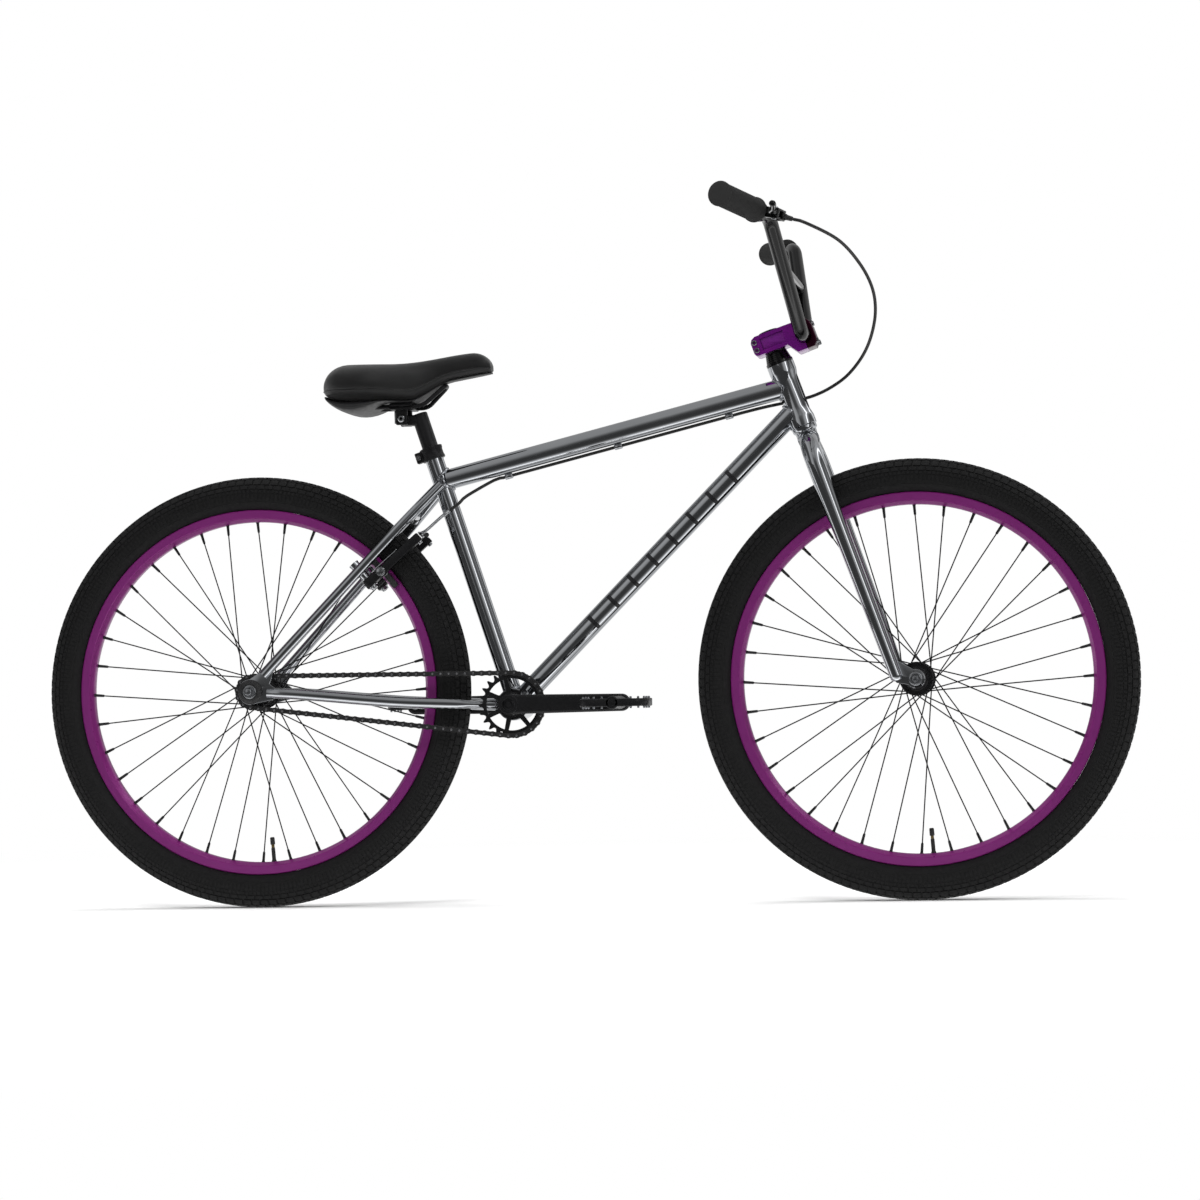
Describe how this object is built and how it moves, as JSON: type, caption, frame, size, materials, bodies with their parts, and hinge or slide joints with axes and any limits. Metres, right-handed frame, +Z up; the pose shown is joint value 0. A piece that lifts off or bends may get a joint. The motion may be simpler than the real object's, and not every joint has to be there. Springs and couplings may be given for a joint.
{
  "type": "bmx bike",
  "caption": "Chrome BMX cruiser bicycle with purple rims and stem, black street tyres, high bars, platform pedals and a rear linear-pull brake.",
  "frame": {"origin": "on the ground, midway between the two axles, in the bike's middle plane", "axes": "+X forward, +Y to the rider's left, +Z up; the drive side is -Y"},
  "size_m": [1.709, 0.74, 1.0622],
  "materials": {
    "chrome": "polished chrome plate",
    "rim_purple": "purple anodised, satin",
    "stem_purple": "bright purple anodised",
    "tyre": "black tread rubber",
    "grip_rubber": "black moulded rubber",
    "black_paint": "gloss black paint",
    "black_metal": "satin black",
    "steel": "zinc plated steel",
    "black_plastic": "black plastic",
    "cable_jacket": "black cable jacket",
    "chain_steel": "dark oiled steel",
    "saddle_vinyl": "black grained vinyl"
  },
  "bodies": {
    "frame": {"bottom_bracket_shell": "chrome", "seat_tube": "chrome", "head_tube": "chrome", "top_tube": "chrome", "down_tube": "chrome", "chainstay_right": "chrome", "chainstay_left": "chrome", "seatstay_right": "chrome", "seatstay_left": "chrome", "seatstay_bridge": "chrome", "seat_clamp": "black_paint", "headset_bearing_lower": "steel", "headset_bearing_upper": "steel", "bottom_bracket_bearing_right": "black_metal", "bottom_bracket_bearing_left": "black_metal", "axle_rear": "steel", "axle_nut_rear_right": "steel", "axle_nut_rear_left": "steel", "hub_guard": "black_plastic", "chain": "chain_steel", "brake_cable_frame": "cable_jacket", "brake_noodle": "steel"},
    "steering": {"fork": "chrome", "headset_cap": "black_plastic", "stem": "stem_purple", "stem_faceplate": "stem_purple", "handlebar": "black_paint", "grip_right": "grip_rubber", "grip_left": "grip_rubber", "lever_clamp": "black_paint", "axle_front": "steel", "axle_nut_front_right": "steel", "axle_nut_front_left": "steel", "brake_cable_bar": "cable_jacket"},
    "front_wheel": {"tyre_front": "tyre", "rim_front": "rim_purple", "spokes_front_right": "black_metal", "spokes_front_left": "black_metal", "hub_front": "black_metal"},
    "rear_wheel": {"tyre_rear": "tyre", "rim_rear": "rim_purple", "spokes_rear_right": "black_metal", "spokes_rear_left": "black_metal", "hub_rear": "black_metal"},
    "driver": {"rear_cog": "black_metal"},
    "crankset": {"crank_spindle": "steel", "crank_arm_right": "black_metal", "crank_arm_left": "black_metal", "sprocket": "black_metal"},
    "pedal_right": {"pedal_right": "black_metal"},
    "pedal_left": {"pedal_left": "black_metal"},
    "brake_lever": {"lever_blade": "black_paint"},
    "brake_arm_right": {"brake_arm_right": "black_metal"},
    "brake_arm_left": {"brake_arm_left": "black_metal"},
    "seatpost": {"seatpost": "black_paint"},
    "saddle": {"saddle_clamp": "black_paint", "saddle_rails": "steel", "saddle_base": "black_plastic", "saddle_cover": "saddle_vinyl"}
  },
  "joints": [
    {"name": "steering_turn", "type": "hinge", "parent": "frame", "child": "steering", "pos_m": [0.33343, 0, 0.77708], "axis": [-0.3338, 0, 0.9426], "range_deg": [-75, 75], "deforming": ["brake_cable_bar"]},
    {"name": "front_wheel_spin", "type": "hinge", "parent": "steering", "child": "front_wheel", "pos_m": [0.5165, 0, 0.338], "axis": [0, 1, 0], "continuous": true},
    {"name": "rear_wheel_spin", "type": "hinge", "parent": "frame", "child": "rear_wheel", "pos_m": [-0.5165, 0, 0.338], "axis": [0, 1, 0], "continuous": true},
    {"name": "driver_spin", "type": "hinge", "parent": "frame", "child": "driver", "pos_m": [-0.5165, 0, 0.338], "axis": [0, 1, 0], "continuous": true},
    {"name": "crank_spin", "type": "hinge", "parent": "frame", "child": "crankset", "pos_m": [-0.1065, 0, 0.311], "axis": [0, 1, 0], "continuous": true},
    {"name": "pedal_right_spin", "type": "hinge", "parent": "crankset", "child": "pedal_right", "pos_m": [0.0685, -0.13, 0.311], "axis": [0, 1, 0], "continuous": true},
    {"name": "pedal_left_spin", "type": "hinge", "parent": "crankset", "child": "pedal_left", "pos_m": [-0.2815, 0.13, 0.311], "axis": [0, 1, 0], "continuous": true},
    {"name": "lever_pull", "type": "hinge", "parent": "steering", "child": "brake_lever", "pos_m": [0.33645, -0.25486, 1.02677], "axis": [-0.2124, -0.0157, -0.9771], "range_deg": [0, 18], "stiffness_Nm_per_rad": 0.6, "springref_deg": -20.05},
    {"name": "brake_arm_right_swing", "type": "hinge", "parent": "frame", "child": "brake_arm_right", "pos_m": [-0.32776, -0.04, 0.50498], "axis": [0.6626, 0, -0.749], "range_deg": [0, 3.2]},
    {"name": "brake_arm_left_swing", "type": "hinge", "parent": "frame", "child": "brake_arm_left", "pos_m": [-0.32776, 0.04, 0.50498], "axis": [-0.6626, 0, 0.749], "range_deg": [0, 3.2]},
    {"name": "seatpost_slide", "type": "slide", "parent": "frame", "child": "seatpost", "axis": [-0.3057, 0, 0.9521], "range_m": [-0.03, 0.05]},
    {"name": "saddle_tilt", "type": "hinge", "parent": "seatpost", "child": "saddle", "pos_m": [-0.27703, 0, 0.75972], "axis": [0, 1, 0], "range_deg": [-12, 12]}
  ],
  "couplings": [
    {"joint": "driver_spin", "follows": "crank_spin", "ratio": 2},
    {"joint": "brake_arm_right_swing", "follows": "lever_pull", "ratio": 0.1667},
    {"joint": "brake_arm_left_swing", "follows": "lever_pull", "ratio": 0.1667}
  ]
}
